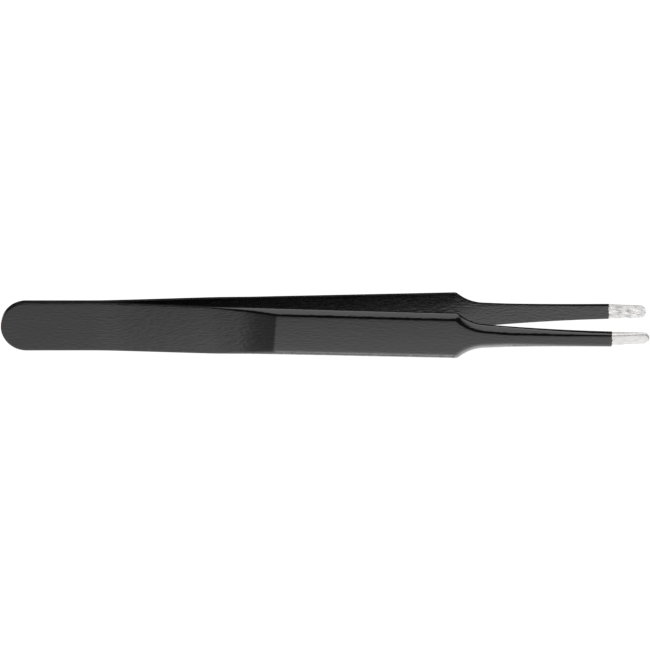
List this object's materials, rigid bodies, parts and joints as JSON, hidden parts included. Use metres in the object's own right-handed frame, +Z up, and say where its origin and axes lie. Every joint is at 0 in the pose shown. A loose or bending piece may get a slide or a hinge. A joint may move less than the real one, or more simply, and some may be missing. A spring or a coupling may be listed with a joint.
{
  "type": "precision tweezers",
  "caption": "Black coated steel precision tweezers with two spring arms, bevelled grips, slim noses and bare flat round tips.",
  "frame": {"origin": "centre of the bounding box in plan, at the lower side edges that the tweezers stand on", "axes": "+X from the welded tail to the tips, +Z up across the width of the arms, +Y from the front arm to the rear arm"},
  "size_m": [0.12, 0.0156, 0.0095],
  "materials": {
    "black_coating": "satin black static-dissipative epoxy with fine lengthwise streaks",
    "spring_steel": "satin stainless steel with fine grinding scratches"
  },
  "bodies": {
    "tail": {"front_tail_plate": "spring_steel", "rear_tail_plate": "spring_steel", "front_tail_coating": "black_coating", "rear_tail_coating": "black_coating", "spot_weld_1": "spring_steel", "spot_weld_2": "spring_steel", "spot_weld_3": "spring_steel"},
    "front_arm": {"front_arm_blade": "spring_steel", "front_arm_coating": "black_coating"},
    "rear_arm": {"rear_arm_blade": "spring_steel", "rear_arm_coating": "black_coating"}
  },
  "joints": [
    {"name": "front_arm_flex", "type": "hinge", "parent": "tail", "child": "front_arm", "pos_m": [-0.03, -0.00143, 0.00473], "axis": [0, 0, 1], "range_deg": [0, 4.2], "stiffness_Nm_per_rad": 0.9},
    {"name": "rear_arm_flex", "type": "hinge", "parent": "tail", "child": "rear_arm", "pos_m": [-0.03, 0.00143, 0.00473], "axis": [0, 0, -1], "range_deg": [0, 4.2], "stiffness_Nm_per_rad": 0.9}
  ],
  "couplings": [
    {"joint": "rear_arm_flex", "follows": "front_arm_flex", "ratio": 1}
  ]
}
